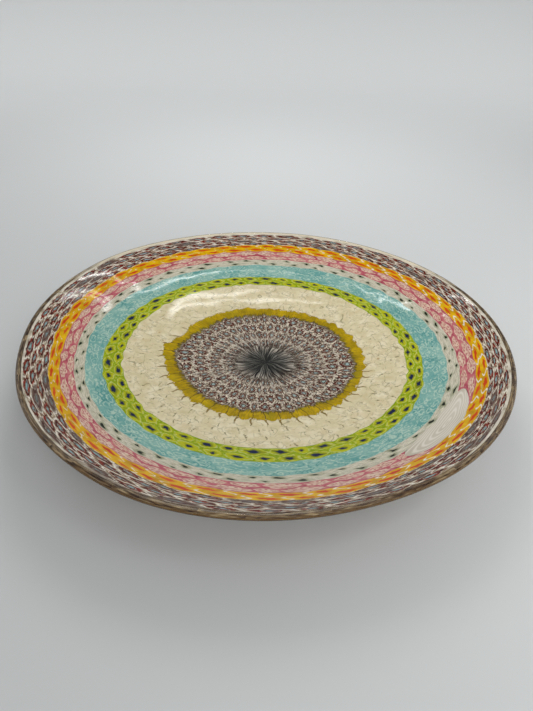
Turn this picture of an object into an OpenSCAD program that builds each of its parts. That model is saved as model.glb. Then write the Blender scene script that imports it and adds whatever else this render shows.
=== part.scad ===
// Wide shallow bowl of blown glass, made from rings of patterned glass slices.
// Each ring holds the same number of slices, fused edge to edge and laid in
// brick order. A clear amber casing backs them all, wraps the lip and forms the foot.
// Origin at the centre of the foot, +Z up, millimetres.

/* [Bowl] */
// Outer radius of the rim
rim_r = 215; // [205:1:240]
// Radius at which the shallow dish turns up into the wall
dish_r = 155; // [148:1:160]
// Height of the inside surface at dish_r above its centre
dish_rise = 20.3; // [16:0.1:22]
// Radius at which the wall becomes straight
wall_r = 183; // [176:1:190]
// Rise of the straight wall for each millimetre outwards
wall_slope = 0.44; // [0.36:0.01:0.48]

/* [Glass] */
// Thickness of the whole glass at the centre of the foot
base_t = 5.5; // [5:0.1:8]
// Thickness of the whole glass at the wall, measured vertically
wall_t = 4.2; // [4:0.1:5.4]
// Thickness of the layer of slices, measured vertically
slice_t = 2; // [1.6:0.1:2.2]
// Thickness of the casing where it wraps over the slices at the lip
lip_skin = 0.6; // [0.4:0.1:0.8]
// Radius of the flat ground foot
foot_r = 62; // [50:1:75]

/* [Slices] */
// Number of slices in each ring
slices = 46; // [36:1:56]
// Ring number, counted from a slice edge on +X, at which the pale grained slice starts
grain_start = 39; // [30:1:40]
// How many slices wide the grained slice is
grain_span = 4; // [2:1:5]
// Width of the seam between one slice and the next along a ring
seam = 0.1; // [0.06:0.02:0.2]

/* [Outer edge of each band, in percent of the rim radius] */
// Dark seal at the centre
seal_edge = 3.5; // [2:0.5:6]
// Dark streaks around the seal
swirl_edge = 12.5; // [10:0.5:15]
// Brown and grey rosettes
rosette_edge = 37.5; // [34:0.5:39]
// Olive ring
olive_edge = 43; // [41:0.5:46]
// Ivory rings
ivory_edge = 60.5; // [55:0.5:62]
// Lime green rings with navy centres
green_edge = 67; // [65:0.5:69]
// Turquoise rings
turquoise_edge = 76; // [72:0.5:77]
// Pale rings with dark spots
spotted_edge = 80.3; // [79:0.1:82]
// Pink rings
pink_edge = 85.7; // [84:0.1:87]
// Orange rings
orange_edge = 90.2; // [89:0.1:91.5]
// Maroon rings
maroon_edge = 97.3; // [95:0.1:97.4]
// Cream thread inside the lip
thread_edge = 98; // [97.8:0.1:98.1]

/* [Hidden] */
$fn = 180;

// A band is [inner edge, outer edge, number of rings]
swirl = [seal_edge, swirl_edge, 1];
rosette = [swirl_edge, rosette_edge, 4];
olive = [rosette_edge, olive_edge, 1];
ivory = [olive_edge, ivory_edge, 4];
green = [ivory_edge, green_edge, 2];
turquoise = [green_edge, turquoise_edge, 3];
spotted = [turquoise_edge, spotted_edge, 2];
pink = [spotted_edge, pink_edge, 2];
orange = [pink_edge, orange_edge, 2];
maroon = [orange_edge, maroon_edge, 4];
thread = [maroon_edge, thread_edge, 1];
bands = [swirl, rosette, olive, ivory, green, turquoise, spotted, pink, orange, maroon, thread];

pitch = 360 / slices;
grain_from = grain_start * pitch;
grain_to = grain_from + grain_span * pitch;

// Radius of the inner edge of ring n of a band; ring 1 is the innermost, n + 1 gives the outer edge
function edge_r(band, n) = rim_r / 100 * (band[0] + (band[1] - band[0]) * (n - 1) / band[2]);

// Height of the inside surface: a circular dish, a curved knuckle and a straight wall
dish_radius = (dish_r * dish_r + dish_rise * dish_rise) / (2 * dish_rise);
dish_slope = dish_r / (dish_radius - dish_rise);
knuckle_w = wall_r - dish_r;
knuckle_rise = knuckle_w * (dish_slope + wall_slope) / 2;
function dish_z(r) = dish_radius - sqrt(dish_radius * dish_radius - r * r);
function knuckle_z(u) = u * dish_slope + u * u * (wall_slope - dish_slope) / (2 * knuckle_w);
function inner_z(r) = base_t + (
    r <= dish_r ? dish_z(r)
    : r <= wall_r ? dish_rise + knuckle_z(r - dish_r)
    : dish_rise + knuckle_rise + wall_slope * (r - wall_r));

// Height of the underside of the slices, and of the outside of the casing
function slice_z(r) = inner_z(r) - slice_t;
foot_t = inner_z(foot_r);
function glass_t(r) = r >= wall_r ? wall_t
    : wall_t + (foot_t - wall_t) * (wall_r - r) / (wall_r - foot_r);
function outer_z(r) = inner_z(r) - glass_t(r);

// The rim is a half round that is tangent to both faces of the wall; the slices in it
// end in a smaller arc about the same centre, which starts where it meets their underside
wall_angle = atan(wall_slope);
nose_r = wall_t / 2 * cos(wall_angle);
nose_x = rim_r - nose_r;
nose_z = inner_z(nose_x) - wall_t / 2;
core_r = nose_r - lip_skin;
core_angle = wall_angle + asin((nose_r - slice_t * cos(wall_angle)) / core_r);
function arc(r, from, to, steps) = [for (i = [0:steps])
    let (a = from + (to - from) * i / steps) [nose_x + r * cos(a), nose_z + r * sin(a)]];

// Radii of every ring edge from the seal out to the lip
ring_edges = [for (band = bands, n = [1:band[2]]) edge_r(band, n)];
lip_r = edge_r(thread, 2);
lip_top = [lip_r, inner_z(lip_r)];
core_top = lip_top - [0, lip_skin / cos(wall_angle)];
core_arc = arc(core_r, core_angle, wall_angle + 90, 6);

// Part of a full turn of a section between two angles, less half a seam at each end at radius r
module turned(from, to, r) {
    half_seam = seam / 2 / r * 180 / PI;
    rotate([0, 0, from + half_seam]) rotate_extrude(angle = to - from - 2 * half_seam) children();
}

// Section of the slice layer through the ring edges given
module slice_section(radii) {
    polygon(concat(
        [for (r = radii) [r, slice_z(r)]],
        [for (i = [len(radii) - 1:-1:0]) [radii[i], inner_z(radii[i])]]));
}

// One ring of slices; odd rings are turned half a slice, and the grained slice's place is left free
module slice_ring(band, n, beside_grain = false) {
    turn = (n % 2) * pitch / 2;
    for (i = [0:slices - 1]) {
        from = turn + i * pitch;
        to = from + pitch;
        left = beside_grain && from < grain_to && to > grain_to ? grain_to : from;
        right = beside_grain && from < grain_from && to > grain_from ? grain_from : to;
        if (!beside_grain || right <= grain_from || left >= grain_to)
            turned(left, right, edge_r(band, n))
                slice_section([edge_r(band, n), edge_r(band, n + 1)]);
    }
}

module amber_casing() {
    inside = [for (r = concat(ring_edges, [lip_r])) [r, slice_z(r)]];
    lip = concat(core_arc, [core_top, lip_top], arc(nose_r, wall_angle + 90, wall_angle - 90, 12));
    knuckle = [for (i = [0:6]) wall_r - knuckle_w * i / 6];
    dish = [for (i = [1:9]) dish_r - (dish_r - foot_r) * i / 9];
    outside = [for (r = concat(knuckle, dish)) [r, outer_z(r)]];
    color("#a8823c", 0.6) rotate_extrude()
        polygon(concat([[0, slice_z(0)]], inside, lip, outside, [[0, 0]]));
}

module centre_seal() {
    r = edge_r(swirl, 1);
    color("#2b2b27") rotate_extrude()
        polygon([[0, slice_z(0)], [r, slice_z(r)], [r, inner_z(r)], [0, inner_z(0)]]);
}

module swirl_row() {
    color("#4a4843") slice_ring(swirl, 1);
}

module rosette_row(n) {
    color("#7d7264") slice_ring(rosette, n);
}

module olive_row() {
    color("#9e851d") slice_ring(olive, 1);
}

module ivory_row(n) {
    color("#d9cfaa") slice_ring(ivory, n);
}

module green_row(n) {
    color("#8fa032") slice_ring(green, n);
}

module turquoise_row(n) {
    color("#82aba0") slice_ring(turquoise, n);
}

module spotted_row(n) {
    color("#c4bda8") slice_ring(spotted, n, beside_grain = n == 2);
}

module pink_row(n) {
    color("#c2948a") slice_ring(pink, n, beside_grain = true);
}

module orange_row(n) {
    color("#d79a12") slice_ring(orange, n);
}

module maroon_row(n) {
    color("#70483f") slice_ring(maroon, n);
}

// Takes the place of the outer spotted ring and both pink rings over a few slices
module grain_slice() {
    color("#ddd8c8") turned(grain_from, grain_to, edge_r(spotted, 2))
        slice_section([edge_r(spotted, 2), edge_r(spotted, 3), edge_r(pink, 2), edge_r(pink, 3)]);
}

module cream_thread() {
    r = [edge_r(thread, 1), edge_r(thread, 2)];
    color("#e3dccb") rotate_extrude() slice_section(r);
}

// The last ring of slices, inside the lip and covered by the casing
module lip_row() {
    outline = concat([core_top, [lip_r, slice_z(lip_r)]], core_arc);
    color("#6b5841") for (i = [0:slices - 1])
        turned(i * pitch, (i + 1) * pitch, lip_r) polygon(outline);
}

amber_casing();
centre_seal();
swirl_row();
rosette_row(1);  // rosette_row_1
rosette_row(2);  // rosette_row_2
rosette_row(3);  // rosette_row_3
rosette_row(4);  // rosette_row_4
olive_row();
ivory_row(1);  // ivory_row_1
ivory_row(2);  // ivory_row_2
ivory_row(3);  // ivory_row_3
ivory_row(4);  // ivory_row_4
green_row(1);  // green_row_1
green_row(2);  // green_row_2
turquoise_row(1);  // turquoise_row_1
turquoise_row(2);  // turquoise_row_2
turquoise_row(3);  // turquoise_row_3
spotted_row(1);  // spotted_row_1
spotted_row(2);  // spotted_row_2
pink_row(1);  // pink_row_1
pink_row(2);  // pink_row_2
orange_row(1);  // orange_row_1
orange_row(2);  // orange_row_2
maroon_row(1);  // maroon_row_1
maroon_row(2);  // maroon_row_2
maroon_row(3);  // maroon_row_3
maroon_row(4);  // maroon_row_4
grain_slice();
cream_thread();
lip_row();
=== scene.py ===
import math
import random

import bpy
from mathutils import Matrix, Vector, noise


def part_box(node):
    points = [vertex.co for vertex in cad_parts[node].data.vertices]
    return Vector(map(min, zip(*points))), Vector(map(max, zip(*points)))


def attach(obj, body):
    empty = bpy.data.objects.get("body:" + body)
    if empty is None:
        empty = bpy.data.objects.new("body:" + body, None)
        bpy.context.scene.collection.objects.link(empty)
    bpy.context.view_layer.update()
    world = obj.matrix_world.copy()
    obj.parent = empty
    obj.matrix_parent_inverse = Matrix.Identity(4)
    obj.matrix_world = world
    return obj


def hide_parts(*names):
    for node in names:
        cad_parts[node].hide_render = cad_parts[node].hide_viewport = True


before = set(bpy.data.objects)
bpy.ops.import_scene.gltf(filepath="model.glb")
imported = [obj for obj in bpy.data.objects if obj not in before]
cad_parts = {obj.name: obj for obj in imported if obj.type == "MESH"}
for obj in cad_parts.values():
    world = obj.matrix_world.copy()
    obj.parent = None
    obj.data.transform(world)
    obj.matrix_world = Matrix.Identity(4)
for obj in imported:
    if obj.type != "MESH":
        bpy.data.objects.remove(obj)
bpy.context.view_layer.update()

# ---- Sizes, in metres and degrees ----

SLICES = 46                 # slices in each ring, as in the CAD
PITCH = 360 / SLICES
GRAIN_START = 39            # first slice that the pale grained slice replaces, counted from the right
GRAIN_SPAN = 4              # how many slices wide it is
GRAIN_FROM = GRAIN_START * PITCH
GRAIN_TO = (GRAIN_START + GRAIN_SPAN) * PITCH
WALL_T = 0.0042             # thickness of the glass at the wall
WALL_R = 0.183              # radius beyond which it is that thin
FOOT_R = 0.062              # radius of the flat ground foot
FOOT_BEVEL = (0.0012, 0.0002)  # how far its worn edge reaches inwards and up
LIP_SKIN = 0.0006           # casing over the slices at the lip
BEDDED = 0.00012            # how far the slices are sunk in the casing

# Bands of rings from the centre out, with the number of rings in each
BANDS = [("swirl_row", 1), ("rosette_row", 4), ("olive_row", 1), ("ivory_row", 4), ("green_row", 2),
         ("turquoise_row", 3), ("spotted_row", 2), ("pink_row", 2), ("orange_row", 2), ("maroon_row", 4)]


def ring_names():
    """CAD node of every ring of slices, from the centre out."""
    return [stem if count == 1 else f"{stem}_{n + 1}" for stem, count in BANDS for n in range(count)]


def outer_edge(node):
    """Radius and height of the outer top edge of a ring."""
    low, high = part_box(node)
    return max(high.x, high.y, -low.x, -low.y), high.z


RINGS = ring_names()
SEAL_R, SEAL_Z = outer_edge("centre_seal")
SLICE_T = SEAL_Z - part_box("swirl_row")[0].z
CENTRE_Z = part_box("centre_seal")[0].z + SLICE_T
EDGES = [(SEAL_R, SEAL_Z)] + [outer_edge(name) for name in RINGS]
THREAD_R, THREAD_Z = outer_edge("cream_thread")
PROFILE = [(0.0, CENTRE_Z)] + EDGES + [(THREAD_R, THREAD_Z)]
RIM_R = outer_edge("amber_casing")[0]
RIM_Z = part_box("amber_casing")[1].z

WALL_SLOPE = (PROFILE[-1][1] - PROFILE[-3][1]) / (PROFILE[-1][0] - PROFILE[-3][0])
WALL_ANGLE = math.atan(WALL_SLOPE)
NOSE_R = WALL_T / 2 * math.cos(WALL_ANGLE)
NOSE_X = RIM_R - NOSE_R
NOSE_Z = RIM_Z - NOSE_R


# ---- The shape of the glass ----

def blend01(x, low, high):
    """Smooth step from 0 at low to 1 at high."""
    t = min(max((x - low) / (high - low), 0.0), 1.0)
    return t * t * (3 - 2 * t)


def slope_at(i):
    """Slope of the inside surface at point i of the profile."""
    if i == 0:
        return 0.0
    a, b = PROFILE[i - 1], PROFILE[min(i + 1, len(PROFILE) - 1)]
    return (b[1] - a[1]) / (b[0] - a[0])


def inner_z(r):
    """Height of the inside surface: a smooth curve through the edges of the rings."""
    last = len(PROFILE) - 1
    if r >= PROFILE[last][0]:
        return PROFILE[last][1] + slope_at(last) * (r - PROFILE[last][0])
    i = next(k for k in range(last) if r <= PROFILE[k + 1][0])
    (r0, z0), (r1, z1) = PROFILE[i], PROFILE[i + 1]
    w = r1 - r0
    t = max(r - r0, 0.0) / w
    return ((1 + 2 * t) * (1 - t) ** 2 * z0 + t * (1 - t) ** 2 * w * slope_at(i)
            + t * t * (3 - 2 * t) * z1 + t * t * (t - 1) * w * slope_at(i + 1))


FOOT_T = inner_z(FOOT_R)


def outer_z(r):
    """Height of the outside of the casing, which thickens towards the foot."""
    share = max(WALL_R - r, 0.0) / (WALL_R - FOOT_R)
    return inner_z(r) - WALL_T - (FOOT_T - WALL_T) * share


def between(low, high, at):
    """The value that is low at -1 and high at 1."""
    return low + (high - low) * (at + 1) / 2


def bump(a, at, width):
    """A smooth bump of height 1 around angle at, in degrees."""
    off = (a - at + 180) % 360 - 180
    return math.exp(-(off / width) ** 2)


# How the hand-blown rim strays from a circle: angle and width of each bulge in degrees, size in metres
RIM_BULGES = [(25, 22, 0.0014), (95, 16, -0.0014), (140, 20, 0.0038), (192, 17, -0.0028),
              (248, 10, 0.0008), (289, 22, -0.0032)]
RIM_IN = 0.0004             # how far the rim is drawn in all round
RIM_SAG = (0.0002, 0.0003)  # how far the rim sags everywhere, and how much more near the viewer


def hand_shaped(r, a, z):
    """Moves a point of the ideal bowl to where it is in a blown one, never quite round or level."""
    rad = math.radians(a)
    far_out = blend01(r, 0.12, RIM_R)
    bulge = sum(size * bump(a, at, width) for at, width, size in RIM_BULGES) - RIM_IN
    sag = RIM_SAG[0] + RIM_SAG[1] * bump(a, 272, 38)
    r += bulge * far_out
    return Vector((r * math.cos(rad), r * math.sin(rad), z - sag * far_out))


# Ripples of the blown surface: how many in a metre, and their height in metres
FINE_RIPPLE = (38, 0.00006)
BROAD_RIPPLE = (15, 0.00014)


def ripple(r, a):
    """Uneven blown surface of the inside, in metres. It fades out at the centre."""
    rad = math.radians(a)
    at = Vector((r * math.cos(rad), r * math.sin(rad), 0))
    fine = noise.noise(at * FINE_RIPPLE[0]) * FINE_RIPPLE[1]
    broad = noise.noise(at * BROAD_RIPPLE[0] + Vector((5, 3, 1))) * BROAD_RIPPLE[1]
    return (fine + broad) * blend01(r, 0.0, 0.03)


# How the pattern's rings stray from true circles, in millimetres at the outer edge of a ring: how much
# larger it is, how far it is shifted to the right and to the back, and how oval it is from left to right.
# The centre and the last ring don't stray, and the rings between these follow their neighbours.
STRAYS = {
    "rosette_row_4": (-1.0, 0.5, 0.5, 3.5),
    "olive_row": (-1.0, 0.0, 1.0, 2.0),
    "ivory_row_4": (0.0, -0.5, 1.0, 1.0),
    "green_row_2": (1.0, -1.0, -1.0, 0.5),
    "turquoise_row_3": (0.0, 0.0, 0.5, 0.5),
    "pink_row_2": (0.0, 1.5, 0.0, 0.0),
    "orange_row_2": (-0.5, 1.5, 0.0, -0.5),
}
UNEVEN = 0.0005             # how uneven the edges of the rings are

# Where the rings on the wall are pushed outwards, right of the nearest point: how far, at what angle and
# how wide in degrees, and at what radius and over how many metres
PUSH, PUSH_AT, PUSH_R, PUSH_WIDTH = 0.0030, (284, 18), 0.186, 0.022

# Where one ring edge strays more than its neighbours: the ring inside it, then the angle and width of
# each kink in degrees and its size in metres
KINKS = {
    "rosette_row_4": [(178, 11, 0.0032), (143, 11, -0.0036), (217, 22, -0.0026), (15, 10, -0.0024),
                      (45, 10, 0.0022), (300, 8, -0.0024), (318, 8, 0.0020)],
    "olive_row": [(177, 9, 0.0050), (156, 6, -0.0046)],
    "green_row_2": [(188, 14, 0.0022)],
}


STRAY_STEPS = [(0.0, (0, 0, 0, 0))]
STRAY_STEPS += [(EDGES[RINGS.index(name) + 1][0], amounts) for name, amounts in STRAYS.items()]
STRAY_STEPS += [(EDGES[-1][0], (0, 0, 0, 0))]


def stray(r, rad):
    """How far a ring edge of radius r strays outwards at angle rad, from the table above."""
    (r0, low), (r1, high) = next(pair for pair in zip(STRAY_STEPS, STRAY_STEPS[1:]) if r <= pair[1][0])
    t = (r - r0) / (r1 - r0)
    grow, right, back, oval = [a + (b - a) * t for a, b in zip(low, high)]
    return (grow + right * math.cos(rad) + back * math.sin(rad) + oval * math.cos(2 * rad)) / 1000


class Ring:
    """One ring of slices, between two uneven edges."""

    def __init__(self, index, skew, curl, scallop):
        self.index = index
        self.name = RINGS[index]
        self.random = random.Random(1000 + index)
        number = self.name.rsplit("_", 1)[-1]
        self.turn = 0.0 if number.isdigit() and int(number) % 2 == 0 else PITCH / 2
        shift = 0.24 if self.name.startswith(("rosette", "ivory")) else 0.14
        self.joints = [self.turn + PITCH * (k + self.random.uniform(-shift, shift)) for k in range(SLICES)]
        self.skew = skew
        self.curl = curl
        depth = EDGES[index + 1][0] - EDGES[index][0]
        self.scallops = [scallop * depth * self.random.uniform(0.1, 1.9) for k in range(SLICES)]
        self.sink = scallop * depth

    def joint(self, k, v):
        """Angle of the joint before slice k, at height v (-1 inner edge to 1 outer edge) in the ring."""
        a = self.joints[k % SLICES] + 360 * (k // SLICES)
        lean = self.skew * (0.5 + 1.3 * math.sin(2.3 * k + self.index)) * v
        return a + PITCH * (lean + self.curl * math.sin(math.pi * v + 0.9 * math.sin(1.7 * k)))

    def bulge(self, a):
        """How far the slice at angle a bulges out of the ring."""
        k = math.floor((a - self.turn) / PITCH)
        for n in (k - 1, k, k + 1):
            low, high = self.joint(n, 0), self.joint(n + 1, 0)
            if low <= a < high:
                wave = 1 - math.cos(2 * math.pi * (a - low) / (high - low))
                return self.scallops[n % SLICES] * wave - self.sink
        return -self.sink


def edge_radius(i, a, rings):
    """Radius of ring edge i at angle a. Slices of the ring inside it bulge into the next ring."""
    r = EDGES[i][0]
    rad = math.radians(a)
    r += stray(r, rad)
    broad, middling, fine = math.sin(4 * rad + i), math.sin(7 * rad + 2.1 * i), math.sin(13 * rad + 3.3 * i)
    r += UNEVEN * (broad + 0.7 * middling + 0.5 * fine) / 2
    r += PUSH * bump(a, *PUSH_AT) * math.exp(-((r - PUSH_R) / PUSH_WIDTH) ** 2)
    if i > 0:
        r += sum(size * bump(a, at, width) for at, width, size in KINKS.get(RINGS[i - 1], []))
        r += rings[i - 1].bulge(a)
    return r


# The rings that the grained slice interrupts, the edges between which it lies, and their radii
BESIDE_GRAIN = ("spotted_row_2", "pink_row_1", "pink_row_2")
GRAIN_EDGES = (RINGS.index("spotted_row_2"), RINGS.index("pink_row_2") + 1)
GRAIN_LOW, GRAIN_HIGH = [EDGES[edge][0] for edge in GRAIN_EDGES]

# How the slices beside it give way, in degrees: how far one may reach over its end and still count as beside
# it, how far from its end one is cut or drawn out to meet it, and how much must show for one to be made
MEETS, STRETCHES, SHOWS = 1.0, 0.4 * PITCH, 0.2 * PITCH
ROUNDING = (9.0, 2.1, 1.0)  # its corners: how far they draw back in degrees, how sharply, and its overhang


def grain_edge(a0, r, away):
    """Angle of an end of the grained slice at radius r: its corners are rounded off."""
    v = max(-1.0, min(1.0, 2 * (r - GRAIN_LOW) / (GRAIN_HIGH - GRAIN_LOW) - 1))
    back, power, overhang = ROUNDING
    return a0 + away * (back * abs(v) ** power - overhang)


# ---- Meshes ----

MIDDLE = (0, 0, 0.5)        # place in the pattern and seed, for pieces that aren't divided into slices


class Shape:
    """Points, faces and the pattern coordinates of each point of a mesh."""

    def __init__(self):
        self.points, self.faces, self.cells = [], [], []

    def add(self, point, cell):
        self.points.append(point)
        self.cells.append(cell)
        return len(self.points) - 1

    def slab(self, nu, nv, place, seed):
        """One closed slice. place(u, v, low) gives its point at u, v in -1 to 1, on top or underneath."""
        grid = {}
        for low in (False, True):
            for j in range(nv + 1):
                for i in range(nu + 1):
                    u, v = 2 * i / nu - 1, 2 * j / nv - 1
                    grid[i, j, low] = self.add(place(u, v, low), (u, v, seed))
        for j in range(nv):
            for i in range(nu):
                self.faces.append([grid[i, j, False], grid[i, j + 1, False],
                                   grid[i + 1, j + 1, False], grid[i + 1, j, False]])
                self.faces.append([grid[i, j, True], grid[i + 1, j, True],
                                   grid[i + 1, j + 1, True], grid[i, j + 1, True]])
        around = ([(i, 0) for i in range(nu)] + [(nu, j) for j in range(nv)]
                  + [(i, nv) for i in range(nu, 0, -1)] + [(0, j) for j in range(nv, 0, -1)])
        for here, there in zip(around, around[1:] + around[:1]):
            self.faces.append([grid[(*here, True)], grid[(*here, False)],
                               grid[(*there, False)], grid[(*there, True)]])

    def tube(self, loops):
        """Faces between each loop of points and the next."""
        for a, b in zip(loops, loops[1:]):
            for here, there in zip(range(len(a)), [*range(1, len(a)), 0]):
                self.faces.append([a[here], b[here], b[there], a[there]])

    def cap(self, middle, loop):
        """Faces between a point and a loop of points around it."""
        for here, there in zip(loop, loop[1:] + loop[:1]):
            self.faces.append([middle, here, there])

    def turned(self, section, columns):
        """A section of (radius, height) points that starts and ends on the axis, turned about it."""
        inner = section[1:-1]
        loops = []
        for k, (r, z) in enumerate(inner):
            v = 2 * k / (len(inner) - 1) - 1
            loops.append([self.add(hand_shaped(r, 360 * c / columns, z), (2 * c / columns - 1, v, MIDDLE[2]))
                          for c in range(columns)])
        self.tube(loops)
        ends = [self.add(Vector((0, 0, section[e][1])), MIDDLE) for e in (0, -1)]
        self.cap(ends[0], loops[0])
        self.cap(ends[1], loops[-1][::-1])

    def piece(self, name, node, materials):
        """The finished Blender object, which stands for a CAD node and rides with it."""
        mesh = bpy.data.meshes.new(name)
        mesh.from_pydata([tuple(p) for p in self.points], [], self.faces)
        cell = mesh.attributes.new("cell", "FLOAT_VECTOR", "POINT")
        cell.data.foreach_set("vector", [x for c in self.cells for x in c])
        for material in materials:
            mesh.materials.append(material)
        mesh.polygons.foreach_set("use_smooth", [True] * len(mesh.polygons))
        mesh.set_sharp_from_angle(angle=math.radians(38))
        mesh.update()
        thing = bpy.data.objects.new(name, mesh)
        bpy.context.scene.collection.objects.link(thing)
        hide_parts(node)
        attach(thing, "root")
        return thing


# ---- Shaders ----

def srgb(code):
    """A linear colour from a hex code such as d9cfaa."""
    parts = [int(code[k:k + 2], 16) / 255 for k in (0, 2, 4)]
    return tuple(c / 12.92 if c <= 0.04045 else ((c + 0.055) / 1.055) ** 2.4 for c in parts) + (1.0,)


def feed(tree, socket, value):
    """Links a Num to an input of a node, or sets the input to a plain value."""
    if isinstance(value, Num):
        tree.links.new(value.socket, socket)
    else:
        socket.default_value = value


class Num:
    """A number in a shader, so that a pattern can be written as arithmetic."""

    def __init__(self, tree, socket):
        self.tree, self.socket = tree, socket

    def do(self, operation, *others):
        """The result of a Math node on this number and others."""
        node = self.tree.nodes.new("ShaderNodeMath")
        node.operation = operation
        for socket, value in zip(node.inputs, (self, *others)):
            feed(self.tree, socket, value)
        return Num(self.tree, node.outputs[0])

    def __add__(self, other):
        return self.do("ADD", other)

    def __sub__(self, other):
        return self.do("SUBTRACT", other)

    def __mul__(self, other):
        return self.do("MULTIPLY", other)

    def __truediv__(self, other):
        return self.do("DIVIDE", other)

    def __neg__(self):
        return self * -1.0

    def flipped(self):
        """1 minus the number."""
        return (-self) + 1.0

    def power(self, other):
        return self.do("POWER", other)

    def size(self):
        return self.do("ABSOLUTE")

    def sine(self):
        return self.do("SINE")

    def fract(self):
        return self.do("FRACT")

    def larger(self, other):
        return self.do("MAXIMUM", other)

    def over(self, low, high):
        """Smooth step from 0 at low to 1 at high; either may be a Num."""
        node = self.tree.nodes.new("ShaderNodeMapRange")
        node.interpolation_type = "SMOOTHSTEP"
        for socket, value in zip(node.inputs, (self, low, high)):
            feed(self.tree, socket, value)
        return Num(self.tree, node.outputs[0])

    def under(self, low, high):
        """Smooth step from 1 at low to 0 at high."""
        return self.over(low, high).flipped()

    def between(self, low, high, soft):
        """1 between low and high, with soft ends."""
        return self.over(low - soft, low + soft) * self.under(high - soft, high + soft)


class Glass:
    """A polished glass material whose colour is drawn by nodes from the cell coordinates of its mesh."""

    def __init__(self, name):
        self.material = bpy.data.materials.new(name)
        self.material.use_nodes = True
        self.tree = self.material.node_tree
        self.shader = self.tree.nodes["Principled BSDF"]
        cell = self.tree.nodes.new("ShaderNodeAttribute")
        cell.attribute_name = "cell"
        self.u, self.v, self.seed = self.split(cell.outputs["Vector"])
        place = self.tree.nodes.new("ShaderNodeTexCoord")
        self.place = place.outputs["Object"]
        self.x, self.y, self.z = self.split(self.place)

    def split(self, vector):
        """The three parts of a vector, each as a Num."""
        node = self.tree.nodes.new("ShaderNodeSeparateXYZ")
        self.tree.links.new(vector, node.inputs[0])
        return [Num(self.tree, node.outputs[k]) for k in range(3)]

    def vector(self, *numbers):
        node = self.tree.nodes.new("ShaderNodeCombineXYZ")
        for socket, value in zip(node.inputs, numbers):
            feed(self.tree, socket, value)
        return node.outputs[0]

    def noises(self, vector, scale, detail=2.0, rough=0.5):
        """Three independent noise numbers, each around 0.5."""
        node = self.tree.nodes.new("ShaderNodeTexNoise")
        self.tree.links.new(vector, node.inputs["Vector"])
        for key, value in (("Scale", scale), ("Detail", detail), ("Roughness", rough)):
            node.inputs[key].default_value = value
        parts = self.tree.nodes.new("ShaderNodeSeparateColor")
        self.tree.links.new(node.outputs["Color"], parts.inputs[0])
        return [Num(self.tree, parts.outputs[k]) for k in range(3)]

    def cell_noise(self, along, across, scale=1.0, detail=2.0, key=61.0):
        """Noise in a slice's own coordinates, stretched by along and across."""
        return self.noises(self.vector(self.u * along, self.v * across, self.seed * key), scale, detail)

    def rays(self, count, run):
        """Noise drawn out into wavy rays from the middle of the bowl, broken up over run metres."""
        bend, sway, _ = self.noises(self.place, 70.0, 2.0)
        x, y = self.x + (bend - 0.5) * 0.007, self.y + (sway - 0.5) * 0.007
        far = (x * x + y * y).power(0.5).larger(0.0004)
        return self.noises(self.vector(x / far * count, y / far * count, far / run), 1.0, 3.0)

    def chance(self, key):
        """A random number for each slice, from 0 to 1; each key gives another."""
        return (self.seed * key).fract()

    def mix(self, share, a, b):
        """Colour a where share is 0, and b where it is 1."""
        node = self.tree.nodes.new("ShaderNodeMix")
        node.data_type = "RGBA"
        feed(self.tree, node.inputs[0], share)
        for socket, value in ((node.inputs[6], a), (node.inputs[7], b)):
            if isinstance(value, str):
                socket.default_value = srgb(value)
            else:
                self.tree.links.new(value, socket)
        return node.outputs[2]

    def ramp(self, number, *stops):
        """A colour from a number through (position, hex code) stops."""
        node = self.tree.nodes.new("ShaderNodeValToRGB")
        self.tree.links.new(number.socket, node.inputs[0])
        elements = node.color_ramp.elements
        while len(elements) < len(stops):
            elements.new(1.0)
        for element, (position, code) in zip(elements, stops):
            element.position = position
            element.color = srgb(code)
        return node.outputs[0]

    def wobbled(self, amount):
        """Cell coordinates bent by noise, so that drawn rings are never true ellipses."""
        nu, nv, _ = self.cell_noise(1.5, 1.0, 1.5, 1.0)
        return self.u + (nu - 0.5) * amount, self.v + (nv - 0.5) * amount

    def distance(self, u, v, half_u, half_v, lobes=0, depth=0.0):
        """Distance from the middle of a slice: 1 on a lobed ellipse of the given half sizes."""
        u, v = u / half_u, v / half_v
        d = (u * u + v * v).power(0.5)
        if not lobes:
            return d
        wave = (v.do("ARCTAN2", u) * float(lobes) + self.seed * 40.0).sine()
        return d * (wave * depth + 1.0)

    def border(self, ragged, wobble=0.3):
        """1 at the edge of a slice and 0 at its middle, bent by a noise number."""
        return self.u.size().larger(self.v.size()) + (ragged - 0.5) * wobble

    def finish(self, colour):
        """Polished surface over the drawn colour, with faint smears in its gloss."""
        smear = self.noises(self.place, 38.0, 3.0)[0]
        s = self.shader.inputs
        self.tree.links.new(colour, s["Base Color"])
        self.tree.links.new((smear * 0.05 + 0.015).socket, s["Roughness"])
        s["IOR"].default_value = 1.5
        s["Specular IOR Level"].default_value = 0.25
        s["Subsurface Weight"].default_value = 0.08
        s["Subsurface Radius"].default_value = (0.9, 0.8, 0.7)
        s["Subsurface Scale"].default_value = 0.001
        return self.material


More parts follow.
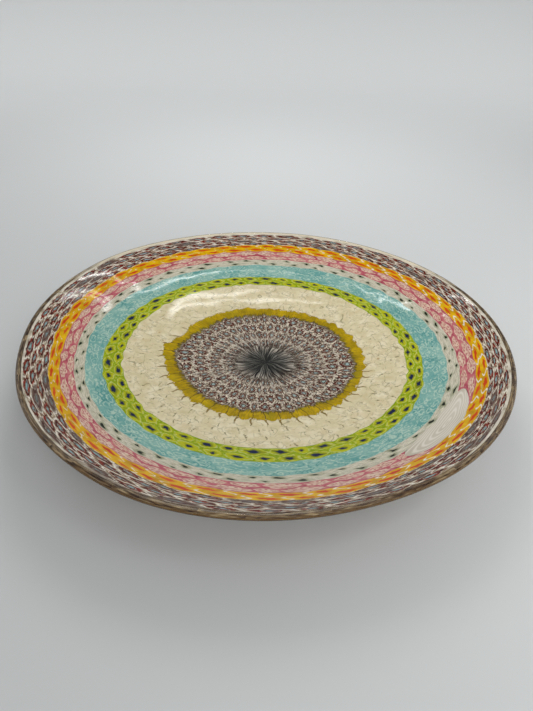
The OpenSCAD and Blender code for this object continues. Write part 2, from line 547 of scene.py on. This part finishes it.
def maroon_glass(name):
    """Ragged dark rings round teal hearts, in grey glass with pale streaks."""
    g = Glass(name)
    u, v = g.wobbled(0.7)
    size = g.chance(17.3) * 0.24 + 0.86
    d = g.distance(u, v, 0.98, 1.02, lobes=9, depth=0.17) / size
    core = g.distance(u, v, 0.92, 1.0) / size
    streaks, veins, blotch = g.noises(g.vector(g.u * 2.4, g.v * 2.6, g.seed * 19.0), 1.0, 3.0)
    ground = g.ramp(streaks, (0.34, "543a2e"), (0.45, "877059"), (0.54, "b9a78c"), (0.63, "eae0cd"))
    body = g.ramp(blotch, (0.36, "351713"), (0.50, "581f18"), (0.62, "932d20"))
    colour = g.mix(d.over(0.76, 0.88), body, ground)
    colour = g.mix(core.under(0.40, 0.48) * 0.85, colour, "a99f91")
    colour = g.mix(core.under(0.30, 0.36), colour, "454f50")
    colour = g.mix(core.under(0.15, 0.25), colour, "93b3b5")
    crack = g.border(veins, 0.6).over(0.84, 0.98) * (streaks + veins - 1.0).over(-0.12, 0.02)
    colour = g.mix(crack, colour, "ebe5d8")
    smear = g.chance(31.7).over(0.84, 0.88) * blotch.over(0.38, 0.5)
    colour = g.mix(smear * 0.75, colour, "665750")
    return g.finish(colour)


def orange_glass(name):
    """Yellow-orange with long red hearts and white cracks at the joints."""
    g = Glass(name)
    u, v = g.wobbled(0.5)
    shade = g.noises(g.place, 120.0, 3.0)[0]
    colour = g.ramp(shade, (0.32, "c08f00"), (0.5, "dcab00"), (0.68, "eebd04"))
    size = g.chance(23.1) * 0.3 + 0.86
    d = g.distance(u, v, 0.60, 0.58, lobes=5, depth=0.16) / size
    colour = g.mix(d.under(0.85, 1.2) * 0.45, colour, "d98a08")
    heart = g.mix(g.chance(41.9), "c9380a", "d9520f")
    colour = g.mix(d.under(0.62, 0.84), colour, heart)
    gaps, flecks, lean = g.cell_noise(0.7, 1.2, 1.3)
    near_right = ((g.x * 1.6 - g.y * 0.6) + 0.02).larger(-0.08)
    line = (g.u.size() + gaps * 0.2 - 0.05).over(0.92, 1.0) * (lean + near_right).over(0.42, 0.54)
    colour = g.mix(line * 0.95, colour, "f2ebdc")
    speck = flecks.over(0.60, 0.68) * g.v.size().over(0.55, 0.85)
    return g.finish(g.mix(speck * 0.7, colour, "e6d09a"))


def pink_glass(name):
    """Rose glass round pale ovals, each with a ring of rose dots."""
    g = Glass(name)
    u, v = g.wobbled(0.5)
    shade, patch, _ = g.noises(g.place, 160.0, 3.0)
    matrix = g.ramp(shade, (0.3, "9f3d4c"), (0.5, "bf5d69"), (0.7, "d18582"))
    size = g.chance(29.3) * 0.24 + 0.86
    d = g.distance(u, v, 0.98, 0.92, lobes=6, depth=0.07) / size
    inside = g.ramp(g.cell_noise(2.0, 2.5)[0], (0.3, "cba890"), (0.5, "dfc2aa"), (0.7, "eedac5"))
    colour = g.mix(d.under(0.84, 1.0), matrix, inside)
    star = (v.do("ARCTAN2", u) * 9.0 + g.seed * 40.0).sine().over(-0.2, 0.5)
    colour = g.mix(d.between(0.46, 0.72, 0.08) * star * 0.9, colour, "b04857")
    colour = g.mix(d.under(0.08, 0.26) * g.chance(13.7).over(0.3, 0.5) * 0.7, colour, "b04857")
    drawn = g.noises(g.vector(g.u * 1.5, g.v * 6.0, g.seed * 83.0), 1.0, 3.0)[0]
    colour = g.mix(drawn.over(0.54, 0.62) * 0.6, colour, "c26a76")
    return g.finish(g.mix(patch.over(0.60, 0.70) * 0.3, colour, "c0707c"))


def spotted_glass(name):
    """Grey-white with small dark spots, each in a greenish halo."""
    g = Glass(name)
    u, v = g.wobbled(0.5)
    streaks, ashes, _ = g.noises(g.vector(g.u * 1.6, g.v * 4.0, g.seed * 29.0), 1.4, 3.0)
    colour = g.ramp(streaks, (0.32, "a09b84"), (0.46, "c6bfa9"), (0.60, "e1dbc8"))
    colour = g.mix(ashes.over(0.54, 0.64) * 0.5, colour, "a3a58c")
    du, dv = (g.chance(11.3) - 0.5) * 0.5, (g.chance(7.9) - 0.5) * 0.3
    size = g.chance(19.1) * 0.5 + 0.65
    d = g.distance(u + du, v + dv, 0.27, 0.52, lobes=3, depth=0.15) / size
    colour = g.mix(d.under(0.9, 2.1) * 0.6, colour, "7d8760")
    colour = g.mix(d.under(0.6, 1.0), colour, "1b2316")
    return g.finish(g.mix(g.border(streaks).over(0.90, 1.0) * 0.45, colour, "d9d4c4"))


def turquoise_glass(name):
    """Teal with pale squiggles that circle the middle of each slice."""
    g = Glass(name)
    u, v = g.wobbled(0.8)
    hue, cloud, _ = g.noises(g.place, 60.0, 3.0)
    tint = hue * 0.7 + g.chance(9.1) * 0.15 + 0.08
    colour = g.ramp(tint, (0.30, "63a19b"), (0.46, "7bafa7"), (0.64, "95beb2"))
    bend, tone, speck = g.noises(g.place, 105.0, 2.0, 0.6)
    d = g.distance(u, v, 1.0, 1.0)
    lines = (bend * 4.2 + d * 1.1).fract() - 0.5
    colour = g.mix(lines.size().under(0.03, 0.24) * tone.over(0.34, 0.50) * 0.7, colour, "c6dac8")
    colour = g.mix(lines.size().over(0.34, 0.46) * (cloud.under(0.38, 0.56) * 0.45 + 0.15), colour, "35807f")
    return g.finish(g.mix(speck.over(0.74, 0.77) * 0.6, colour, "9a8a6a"))


def green_glass(name):
    """Lime with yellow rings, faint pale outlines and navy cores."""
    g = Glass(name)
    u, v = g.wobbled(0.6)
    shade, some, streak = g.cell_noise(2.0, 2.0, 1.2)
    field = g.ramp(shade, (0.3, "7c920a"), (0.5, "93a70c"), (0.7, "aabb1c"))
    d = g.distance(u, v, 1.02, 1.06, lobes=5, depth=0.05)
    big = g.chance(27.7) * 0.24 + 0.22
    rings = g.ramp(d, (0.0, "a7a712"), (0.50, "bbbc17"), (0.78, "b6bb18"), (0.95, "99ab12"))
    colour = g.mix(d.over(0.82, 1.0), rings, field)
    pale = g.chance(51.1) * 0.20 + 0.70
    outline = ((d - pale) * 8.0).size().under(0.2, 0.9)
    colour = g.mix(outline * some.over(0.38, 0.54) * 0.5, colour, "d3da92")
    colour = g.mix(streak.over(0.58, 0.68) * d.over(0.7, 0.9) * 0.5, colour, "c6d06a")
    core = g.distance(u, v, 1.0, 1.0, lobes=4, depth=0.14) / big
    colour = g.mix(core.under(0.95, 1.9) * 0.75, colour, "56661a")
    return g.finish(g.mix(core.under(0.70, 1.0), colour, "1a2345"))


def ivory_colour(g):
    """Cloudy ivory with fine wrinkles."""
    cloud, warm, bend = g.noises(g.place, 110.0, 4.0)
    colour = g.ramp(cloud, (0.28, "d4c69b"), (0.48, "e2d6b0"), (0.68, "eee4c6"))
    colour = g.mix(warm.over(0.50, 0.66) * 0.16, colour, "d9be92")
    wrinkle = (bend * 5.0).fract() - 0.5
    colour = g.mix(wrinkle.size().under(0.0, 0.20) * cloud.over(0.40, 0.54) * 0.5, colour, "a99b70")
    curve, part, _ = g.noises(g.place, 52.0, 1.0)
    return g.mix((curve - 0.5).size().under(0.003, 0.013) * part.over(0.57, 0.62) * 0.55, colour, "7b7048")


def tooth(g, ragged):
    """1 on the near side and to the left, where the olive runs out between the ivory slices."""
    here = (g.y * -1.0 - g.x * 0.3).over(-0.045, 0.015)
    return here * ragged.over(0.26, 0.40)


def ivory_glass(name, teeth=False):
    """Ivory with short dark ticks at the joints; the first ring also has long brown teeth."""
    g = Glass(name)
    colour = ivory_colour(g)
    where, ragged, kink = g.cell_noise(0.8, 1.6, 1.6, 3.0)
    tint, spot, _ = g.noises(g.place, 170.0, 2.0)
    joint = (g.u.size() + (ragged - 0.5) * 0.3).over(0.88, 0.95)
    short = (g.v + (g.chance(71.3) - 0.5) * 1.2).size().under(0.25, 0.65)
    near = (g.y * -1.0).over(-0.06, 0.04) * 0.4 + 0.45
    colour = g.mix(joint * short * where.over(0.40, 0.50) * near, colour, "6b6036")
    row = (g.v.size() + (ragged - 0.5) * 0.5).over(0.92, 1.0) * kink.over(0.52, 0.58)
    colour = g.mix(row * 0.55, colour, "7a7250")
    if teeth:
        taper = g.v * -0.06 + 0.02
        tip = (g.v + (g.chance(37.9) - 0.5) * 0.9).under(0.1, 0.9)
        long = (g.u.size() + (ragged - 0.5) * 0.22 + taper).over(0.88, 0.93) * tip * tooth(g, where)
        colour = g.mix(long * 0.9, colour, "7d6520")
        foot = (g.v + g.u.size() * -0.35 + (tint - 0.5) * 0.9).under(-1.22, -1.10)
        colour = g.mix(foot, colour, "a38812")
    return g.finish(g.mix(spot.over(0.70, 0.74) * 0.7, colour, "b08d58"))


def olive_glass(name):
    """Mustard, streaked with greenish brown at its inner edge and ragged at its outer one."""
    g = Glass(name)
    shade, patch, _ = g.noises(g.place, 90.0, 4.0)
    colour = g.ramp(shade, (0.30, "9c8306"), (0.48, "b69704"), (0.66, "ccab08"))
    fine, rough, hatch = g.noises(g.vector(g.u * 3.2 + g.v * 0.8, g.v * 0.8, g.seed * 23.0), 1.6, 3.0)
    colour = g.mix(hatch.over(0.50, 0.60) * 0.45, colour, "756508")
    inner = (g.v + (fine - 0.5) * 2.6).under(-0.95, -0.35)
    colour = g.mix(inner * 0.85, colour, "40351b")
    colour = g.mix(patch.over(0.5, 0.66) * 0.3, colour, "98930a")
    colour = g.mix((g.v + (rough - 0.5) * 3.0).under(-1.1, -0.95), colour, "84776b")
    ragged = g.cell_noise(1.2, 2.0, 1.4, 3.0)[0]
    joint = (g.u.size() + (ragged - 0.5) * 0.16).over(0.90, 0.97)
    colour = g.mix(joint * (tooth(g, ragged) * 0.6 + 0.25), colour, "4c3a12")
    notch = (g.v + (g.cell_noise(2.4, 0.6, 1.4, 3.0, key=87.0)[1] - 0.5) * 1.2).over(0.95, 1.03)
    return g.finish(g.mix(notch, colour, "d6caa2"))


def rosette_glass(name, dark=0.0, drawn=0.0, stained=0.0):
    """Eight-lobed red rings round pale teal hearts. Drawn-out rays can break them up, dark ones at the
    inner edge, and the outer edge can be stained brown."""
    g = Glass(name)
    u, v = g.wobbled(0.55)
    streaks, veins, gaps = g.noises(g.vector(g.u * 3.4, g.v * 3.4, g.seed * 43.0), 1.0, 3.0)
    ground = g.ramp(streaks, (0.34, "31271f"), (0.45, "6b5d4e"), (0.54, "b5a68f"), (0.63, "eee3d0"))
    size = g.chance(33.3) * 0.24 + 0.84
    d = g.distance(u, v, 0.98, 0.92, lobes=8, depth=0.20) / size
    core = g.distance(u, v, 1.0, 0.95) / size
    body = g.ramp(veins, (0.36, "3c1612"), (0.60, "662619"))
    colour = g.mix(d.over(0.72, 0.84), body, ground)
    colour = g.mix(core.under(0.46, 0.54) * 0.85, colour, "9f9485")
    colour = g.mix(core.under(0.33, 0.40), colour, "45403d")
    colour = g.mix(core.under(0.17, 0.27), colour, "a3b9b6")
    colour = g.mix(g.border(veins, 0.5).over(0.84, 0.98) * gaps.over(0.44, 0.54) * 0.75, colour, "e0d9cc")
    rays = g.rays(19.0, 0.03)[0]
    stripes = g.ramp(rays, (0.36, "1e1210"), (0.47, "4d423b"), (0.54, "8a8176"), (0.63, "cdc6b9"))
    share = (rays - 0.5).size().over(0.02, 0.12) * drawn
    colour = g.mix(share, colour, stripes)
    if dark:
        inner = (g.v + (rays - 0.5) * 3.0).under(-1.1, 0.5)
        colour = g.mix(inner * dark, colour, "241f1c")
    if stained:
        outer = (g.v + (gaps - 0.5) * 1.6).over(0.62, 1.0)
        colour = g.mix(outer * stained, colour, "54452f")
    return g.finish(colour)


def dark_rays(g):
    """Charcoal with grey rays, darkest at the middle."""
    rays = g.rays(25.0, 0.02)[0]
    far = (g.x * g.x + g.y * g.y).power(0.5) * 4.0
    return g.ramp(rays + far, (0.36, "080b0a"), (0.50, "181b19"), (0.60, "3a3a36"), (0.72, "8b867e"))


def swirl_glass(name):
    """Charcoal rays that fade outwards into pale and red-brown ones."""
    g = Glass(name)
    rays, stop, _ = g.rays(25.0, 0.02)
    pale = g.ramp(rays, (0.36, "241612"), (0.46, "50423a"), (0.53, "8e8376"), (0.62, "d8d1c3"))
    outward = (g.v + (stop - 0.5) * 2.4).over(-0.2, 1.3)
    return g.finish(g.mix(outward * 0.9, dark_rays(g), pale))


def seal_glass(name):
    """The dark rays alone, for the button at the centre."""
    g = Glass(name)
    return g.finish(dark_rays(g))


def grain_glass(name):
    """Off-white with long nested contour lines, like the grain of wood."""
    g = Glass(name)
    bend, drift, tone = g.noises(g.vector(g.u * 0.9, g.v * 0.5, 3.0), 1.2, 1.0)
    u = g.u + (bend - 0.5) * 0.45 + g.v * 0.22 - 0.1
    v = g.v + (drift - 0.5) * 0.35
    d = g.distance(u, v, 0.95, 0.80)
    line = ((d * 4.4).fract() - 0.5).size().under(0.05, 0.34)
    colour = g.ramp(tone, (0.3, "c6bdab"), (0.5, "d2cab9"), (0.7, "dbd4c5"))
    colour = g.mix(line * 0.65, colour, "f0ebdf")
    return g.finish(g.mix(g.border(bend, 0.1).over(0.90, 1.0) * 0.4, colour, "c2b9a6"))


def cream_glass(name):
    """Cream, turning brown on the near side."""
    g = Glass(name)
    shade, stain, _ = g.noises(g.place, 90.0, 3.0)
    pale = g.ramp(shade, (0.32, "a39781"), (0.45, "d0c8b6"), (0.65, "e4ddce"))
    near = (g.y * -1.0 + (stain - 0.5) * 0.05).over(0.155, 0.195)
    return g.finish(g.mix(near * 0.9, pale, "705c4c"))


def lip_glass(name):
    """Smoky mottled glass of the rolled lip, golden at its outer edge; at the back, near white on its inner
    half and dark grey on its outer half.
    """
    g = Glass(name)
    mottle, streaks, _ = g.noises(g.vector(g.u * 1.0, g.v * 1.8, g.seed * 37.0), 1.5, 4.0)
    colour = g.ramp(mottle, (0.38, "2b1b17"), (0.47, "544237"), (0.56, "867863"), (0.66, "b5aa95"))
    near = (g.y * -1.0).over(0.02, 0.13)
    colour = g.mix(near * streaks.over(0.50, 0.60) * 0.55, colour, "7c6546")
    colour = g.mix(g.v.over(0.30, 0.70) * (near * 0.5 + 0.35), colour, "6f5423")
    # At the back each slice is near white on its inner half and dark grey on its outer half
    back = (g.y + (mottle - 0.5) * 0.06).over(0.06, 0.14)
    clear = g.mix(g.v.over(-0.12, 0.12), "f6f5f3", "4f4a43")
    return g.finish(g.mix(back * 0.85, colour, clear))


def amber_glass(name, rough=0.02):
    """Clear amber glass; lamps shine through it so that it doesn't shade the slices behind it."""
    g = Glass(name)
    s = g.shader.inputs
    s["Base Color"].default_value = srgb("eae1cc")
    s["Roughness"].default_value = rough
    s["IOR"].default_value = 1.5
    s["Transmission Weight"].default_value = 1.0
    tree = g.tree
    clear = tree.nodes.new("ShaderNodeBsdfTransparent")
    clear.inputs["Color"].default_value = srgb("eaddc4")
    path = tree.nodes.new("ShaderNodeLightPath")
    mix = tree.nodes.new("ShaderNodeMixShader")
    tree.links.new(path.outputs["Is Shadow Ray"], mix.inputs[0])
    tree.links.new(g.shader.outputs[0], mix.inputs[1])
    tree.links.new(clear.outputs[0], mix.inputs[2])
    tree.links.new(mix.outputs[0], tree.nodes["Material Output"].inputs["Surface"])
    return g.material


# ---- The rings of slices ----

# Shape of each band's slices: grid along and across, how far the joints lean and curl
FORM = {
    "swirl_row": (8, 8, 0.16, 0.0), "rosette_row": (12, 8, 0.05, 0.04), "olive_row": (12, 8, 0.05, 0.04),
    "ivory_row": (12, 6, 0.06, 0.05), "green_row": (12, 6, 0.05, 0.03), "turquoise_row": (12, 5, 0.05, 0.05),
    "spotted_row": (12, 4, 0.05, 0.04), "pink_row": (12, 5, 0.05, 0.05), "orange_row": (14, 5, 0.08, 0.12),
    "maroon_row": (14, 5, 0.05, 0.08),
}

# How far the slices of a band bulge into the next ring, in parts of their depth
SCALLOP = 0.06
SCALLOPS = {"rosette_row": 0.07, "olive_row": 0.08}


def band_of(name):
    """The band a ring belongs to."""
    return next(stem for stem, _ in BANDS if name.startswith(stem))


def make_rings():
    """Every ring's layout, from the centre out."""
    layouts = []
    for i, name in enumerate(RINGS):
        _, _, skew, curl = FORM[band_of(name)]
        layouts.append(Ring(i, skew, curl, SCALLOPS.get(band_of(name), SCALLOP)))
    return layouts


def place_between(rings, low_edge, high_edge, left, right):
    """A place function for a slice between two ring edges and two joints, left and right of it."""
    def place(u, v, low):
        a = between(left(v), right(v), u)
        r = between(edge_radius(low_edge, a, rings), edge_radius(high_edge, a, rings), v)
        z = inner_z(r) - SLICE_T - BEDDED if low else inner_z(r) + ripple(r, a)
        return hand_shaped(r, a, z)
    return place


def clipped(ring, k):
    """The two ends of slice k as functions of v, kept clear of the grained slice, or None if it hides it."""
    joint = ring.joint(k, 0)
    a = joint % 360
    b, whole_turns = a + PITCH, joint - a

    def ring_r(v):
        return between(EDGES[ring.index][0], EDGES[ring.index + 1][0], v)

    def left(v):
        return ring.joint(k, v)

    def right(v):
        return ring.joint(k + 1, v)

    def grain_left(v):
        return grain_edge(GRAIN_FROM, ring_r(v), 1) + whole_turns

    def grain_right(v):
        return grain_edge(GRAIN_TO, ring_r(v), -1) + whole_turns

    if ring.name not in BESIDE_GRAIN:
        return left, right
    if b <= GRAIN_FROM + MEETS or a >= GRAIN_TO - MEETS:
        if abs(b - GRAIN_FROM) <= STRETCHES:
            return left, grain_left
        if abs(a - GRAIN_TO) <= STRETCHES:
            return grain_right, right
        return left, right
    if a < GRAIN_FROM - SHOWS:
        return left, grain_left
    if b > GRAIN_TO + SHOWS:
        return grain_right, right
    return None


def build_ring(ring, rings, material):
    """All the slices of one ring, as separate closed shells in one piece."""
    nu, nv, _, _ = FORM[band_of(ring.name)]
    shape = Shape()
    for k in range(SLICES):
        ends = clipped(ring, k)
        if ends:
            shape.slab(nu, nv, place_between(rings, ring.index, ring.index + 1, *ends), ring.random.random())
    return shape.piece(ring.name + "_glass", ring.name, [material])


def build_grain(rings):
    """The pale grained slice, which is as deep as the three rings it interrupts."""
    def left(v):
        return grain_edge(GRAIN_FROM, between(GRAIN_LOW, GRAIN_HIGH, v), 1)

    def right(v):
        return grain_edge(GRAIN_TO, between(GRAIN_LOW, GRAIN_HIGH, v), -1)

    shape = Shape()
    shape.slab(56, 24, place_between(rings, *GRAIN_EDGES, left, right), 0.37)
    return shape.piece("grain_slice_glass", "grain_slice", [grain_glass("grain")])


# ---- Seal, thread, lip and casing ----

def build_seal(rings):
    """The dark button at the centre, whose edge follows the first ring edge."""
    shape = Shape()
    columns, steps = 96, 5
    tops, lows = [], []
    for k in range(1, steps + 1):
        top, low = [], []
        for c in range(columns):
            a = 360 * c / columns
            r = edge_radius(0, a, rings) * k / steps
            top.append(shape.add(hand_shaped(r, a, inner_z(r) + ripple(r, a)), MIDDLE))
            low.append(shape.add(hand_shaped(r, a, inner_z(r) - SLICE_T - BEDDED), MIDDLE))
        tops.append(top)
        lows.append(low)
    centre = shape.add(Vector((0, 0, CENTRE_Z)), MIDDLE)
    under = shape.add(Vector((0, 0, CENTRE_Z - SLICE_T - BEDDED)), MIDDLE)
    shape.cap(centre, tops[0])
    shape.tube(tops + lows[::-1])
    shape.cap(under, lows[0][::-1])
    return shape.piece("centre_seal_glass", "centre_seal", [seal_glass("seal")])


THREAD_THINNED = 0.55       # share of its width that the cream thread loses where it is thinnest
THREAD_THIN_AT = (275, 34)  # angle of that place and how far it reaches, in degrees


def thread_edge(a):
    """Outer radius of the cream thread, which is drawn thin towards the near side."""
    full = THREAD_R - EDGES[-1][0]
    return THREAD_R - full * THREAD_THINNED * bump(a, *THREAD_THIN_AT)


def build_thread(rings):
    """The cream thread, laid between the last maroon ring and the lip."""
    shape = Shape()
    columns, steps, crown = SLICES * 10, 4, 0.00012

    def place(u, v, low):
        a = 180 * (u + 1)
        r = between(edge_radius(len(RINGS), a, rings), thread_edge(a), v)
        z = inner_z(r) - SLICE_T - BEDDED if low else inner_z(r) + ripple(r, a) + crown * (1 - v * v)
        return hand_shaped(r, a, z)

    loops = []
    for low in (False, True):
        for j in range(steps, -1, -1) if low else range(steps + 1):
            v = 2 * j / steps - 1
            loops.append([shape.add(place(2 * c / columns - 1, v, low), (2 * c / columns - 1, v, MIDDLE[2]))
                          for c in range(columns)])
    shape.tube(loops + loops[:1])
    return shape.piece("cream_thread_glass", "cream_thread", [cream_glass("cream")])


def build_lip_row():
    """The last slices, rolled over the rim inside the casing."""
    shape = Shape()
    rand = random.Random(77)
    core_r = NOSE_R - LIP_SKIN
    turn, last_turn = WALL_ANGLE + math.pi / 2, math.radians(-28)
    flat = 0.35             # share of a slice that lies flat before it rolls over
    gap, dip = 0.00005, 0.0001     # how far its start is from the cream thread, and below it
    depth_in, depth_down = 0.0009, 0.0006   # its thickness, inwards at its end and downwards at its start
    lowest = NOSE_Z - core_r * 0.6
    joints = [PITCH * (k + rand.uniform(-0.15, 0.15)) for k in range(SLICES)]

    def joint(k):
        return joints[k % SLICES] + 360 * (k // SLICES)

    def make_place(k):
        def place(u, v, low):
            a = between(joint(k), joint(k + 1), u)
            r_in = thread_edge(a) + gap
            t = (v + 1) / 2
            if t < flat:
                s = t / flat
                r_end = NOSE_X + core_r * math.cos(turn)
                r = r_in + (r_end - r_in) * s
                z = inner_z(r) - LIP_SKIN / math.cos(WALL_ANGLE) * s - dip * (1 - s)
            else:
                s = (t - flat) / (1 - flat)
                b = turn + (last_turn - turn) * s
                r, z = NOSE_X + core_r * math.cos(b), NOSE_Z + core_r * math.sin(b)
            if low:
                r, z = r - depth_in * t * t, min(z - depth_down * (1 - t), inner_z(r) - SLICE_T)
                z = max(z, lowest)
            return hand_shaped(r, a, z)
        return place

    for k in range(SLICES):
        shape.slab(10, 10, make_place(k), rand.random())
    return shape.piece("lip_row_glass", "lip_row", [lip_glass("lip")])


def build_casing():
    """Clear amber glass behind the slices, over the lip and down to the ground foot."""
    section = [(0.0, CENTRE_Z - SLICE_T)]
    section += [(r, inner_z(r) - SLICE_T) for r, _ in PROFILE[1:]]
    # The hollow in the lip for its slices, which opens at the edge of the cream thread
    pocket, deepest = NOSE_R - LIP_SKIN - 0.0007, math.radians(-20)
    for k in range(7):
        b = deepest + (WALL_ANGLE + math.pi / 2 - deepest) * k / 6
        section.append((NOSE_X + pocket * math.cos(b), NOSE_Z + pocket * math.sin(b)))
    section.append((THREAD_R + 0.0004, inner_z(THREAD_R) - 0.0012))
    section.append((THREAD_R, inner_z(THREAD_R) - 0.0010))
    section.append((THREAD_R, inner_z(THREAD_R)))
    for k in range(15):
        b = WALL_ANGLE + math.pi / 2 - math.pi * k / 14
        section.append((NOSE_X + NOSE_R * math.cos(b), NOSE_Z + NOSE_R * math.sin(b)))
    wall = [WALL_R + (NOSE_X - WALL_R) * k / 5 for k in range(4, -1, -1)]
    body = [WALL_R - (WALL_R - FOOT_R) * (k / 22) for k in range(1, 22)]
    section += [(r, outer_z(r)) for r in wall + body]
    section += [(FOOT_R, FOOT_BEVEL[1]), (FOOT_R - FOOT_BEVEL[0], 0.0), (FOOT_R * 0.5, 0.0), (0.0, 0.0)]
    shape = Shape()
    shape.turned(section, SLICES * 8)
    casing = shape.piece("amber_casing_glass", "amber_casing",
                         [amber_glass("amber"), amber_glass("ground_amber", rough=0.32)])
    for face in casing.data.polygons:
        if face.normal.z < -0.999 and face.center.z < 0.0001:
            face.material_index = 1
    return casing


# ---- Stage, light and camera ----

def build_stage():
    """A pale floor that curves up into a backdrop far behind the bowl."""
    points = []
    half, near = 10.0, -10.0                # its edges at the sides and behind the camera
    bend, radius, height = 1.4, 0.6, 2.0    # where it curves up, how roundly, and how high it goes
    profile = [(near, 0.0), (bend, 0.0)]
    profile += [(bend + radius * math.sin(t), radius * (1 - math.cos(t)))
                for t in [math.pi / 2 * k / 16 for k in range(1, 17)]]
    profile.append((bend + radius, height))
    for x in (-half, half):
        points += [(x, y, z) for y, z in profile]
    n = len(profile)
    faces = [[k, k + 1, n + k + 1, n + k][::-1] for k in range(n - 1)]
    mesh = bpy.data.meshes.new("floor")
    mesh.from_pydata(points, [], faces)
    mesh.polygons.foreach_set("use_smooth", [True] * len(mesh.polygons))
    floor = bpy.data.objects.new("floor", mesh)
    bpy.context.scene.collection.objects.link(floor)
    material = bpy.data.materials.new("floor")
    material.use_nodes = True
    s = material.node_tree.nodes["Principled BSDF"].inputs
    s["Base Color"].default_value = srgb("d6d8d8")
    s["Roughness"].default_value = 0.6
    mesh.materials.append(material)


def add_light(name, place, aim, size, radiance, glints=True):
    """A rectangular soft light of size (across, deep) at place, facing aim, hidden from the camera."""
    light = bpy.data.lights.new(name, "AREA")
    light.shape = "RECTANGLE"
    light.size, light.size_y = size
    light.energy = radiance * math.pi * size[0] * size[1]
    thing = bpy.data.objects.new(name, light)
    thing.location = place
    thing.rotation_euler = (Vector(aim) - Vector(place)).to_track_quat("-Z", "Y").to_euler()
    thing.visible_camera = False
    thing.visible_glossy = glints
    bpy.context.scene.collection.objects.link(thing)
    return thing


# The lamp over the back of the bowl, whose glint the glass shows: each strip's two ends, width and radiance
STRIPS = [((-0.030, 0.545), (-0.060, 0.595), 0.004, 20), ((-0.060, 0.595), (-0.078, 0.620), 0.0025, 24),
          ((-0.010, 0.545), (-0.030, 0.545), 0.004, 18), ((-0.010, 0.545), (0.030, 0.548), 0.003, 9),
          ((0.060, 0.565), (0.092, 0.595), 0.005, 11), ((0.092, 0.595), (0.100, 0.625), 0.005, 15),
          ((-0.065, 0.670), (-0.020, 0.622), 0.005, 13), ((-0.020, 0.622), (0.045, 0.622), 0.005, 11),
          ((-0.065, 0.665), (-0.030, 0.608), 0.008, 10), ((-0.030, 0.608), (0.010, 0.594), 0.010, 9)]
LAMP_Z = 0.62               # height of the lamp


def add_strip(name, start, end, width, radiance):
    """A strip of light in the lamp, which faces down and runs from start to end."""
    across, back = end[0] - start[0], end[1] - start[1]
    middle = ((start[0] + end[0]) / 2, (start[1] + end[1]) / 2, LAMP_Z)
    strip = add_light(name, middle, (*middle[:2], 0), (math.hypot(across, back), width), radiance)
    strip.rotation_euler = (0, 0, math.atan2(back, across))


def build_lights():
    """A pale room, a key light over the back of the bowl with a small lamp below it, side panels, a front
    fill, and soft lights over the backdrop and over the floor on the right."""
    world = bpy.data.worlds.new("studio")
    world.use_nodes = True
    background = world.node_tree.nodes["Background"].inputs
    background["Color"].default_value = (0.98, 0.99, 1.0, 1)
    background["Strength"].default_value = 0.28
    bpy.context.scene.world = world
    for side in (-1, 1):
        add_light(f"panel_{side}", (0.66 * side, 0.36, 0.55), (0, 0, 0), (0.5, 0.5), 0.6)
    for k, strip in enumerate(STRIPS):
        add_strip(f"strip_{k}", *strip)
    add_light("key", (0, 0.62, 0.72), (0, 0.1, 0), (0.5, 0.35), 4.7, glints=False)
    add_light("fill", (0.25, -1.5, 1.0), (0, -0.1, 0), (1.5, 1.0), 2.8, glints=False)
    ceiling = add_light("ceiling", (0, 1.05, 1.2), (0, 1.5, 0), (3.4, 1.3), 0.60, glints=False)
    ceiling.data.spread = math.radians(80)
    wash = add_light("wash", (0.8, -0.5, 0.9), (0.7, -0.3, 0), (0.5, 0.8), 1.4, glints=False)
    wash.data.spread = math.radians(80)


def build_camera():
    """The camera, placed from the middle of the rim in rim radii. It looks down, held slightly askew."""
    data = bpy.data.cameras.new("camera")
    data.sensor_width = 36
    data.lens = 27.23
    data.clip_start, data.clip_end = 0.01, 50
    camera = bpy.data.objects.new("camera", data)
    middle = Vector((0, 0, RIM_Z - 0.001))
    camera.location = middle + Vector((-0.035, -1.927, 1.215)) * RIM_R
    camera.rotation_euler = (math.radians(54.51), math.radians(-1.62), 0)
    bpy.context.scene.collection.objects.link(camera)
    bpy.context.scene.camera = camera


# ---- The bowl and what stands round it ----

build_camera()
build_stage()
build_lights()

# Material and slot of each band
GLASS = {
    "swirl_row": (swirl_glass, "charcoal_glass"), "rosette_row": (rosette_glass, "rosette_glass"),
    "olive_row": (olive_glass, "olive_glass"), "ivory_row": (ivory_glass, "ivory_glass"),
    "green_row": (green_glass, "green_glass"), "turquoise_row": (turquoise_glass, "turquoise_glass"),
    "spotted_row": (spotted_glass, "spotted_glass"), "pink_row": (pink_glass, "pink_glass"),
    "orange_row": (orange_glass, "orange_glass"), "maroon_row": (maroon_glass, "maroon_glass"),
}
# Rings whose pattern differs from the rest of their band
SPECIAL = {
    "rosette_row_1": lambda: rosette_glass("rosette_1", dark=0.7, drawn=0.5),
    "rosette_row_2": lambda: rosette_glass("rosette_2", drawn=0.25),
    "rosette_row_4": lambda: rosette_glass("rosette_4", stained=0.75),
    "ivory_row_1": lambda: ivory_glass("ivory_1", teeth=True),
}

rings = make_rings()
band_materials = {band: make(band) for band, (make, _) in GLASS.items()}
for ring in rings:
    band = band_of(ring.name)
    material = SPECIAL[ring.name]() if ring.name in SPECIAL else band_materials[band]
    build_ring(ring, rings, material)
build_grain(rings)
build_seal(rings)
build_thread(rings)
build_lip_row()
build_casing()
bpy.context.scene.view_settings.view_transform = "Standard"
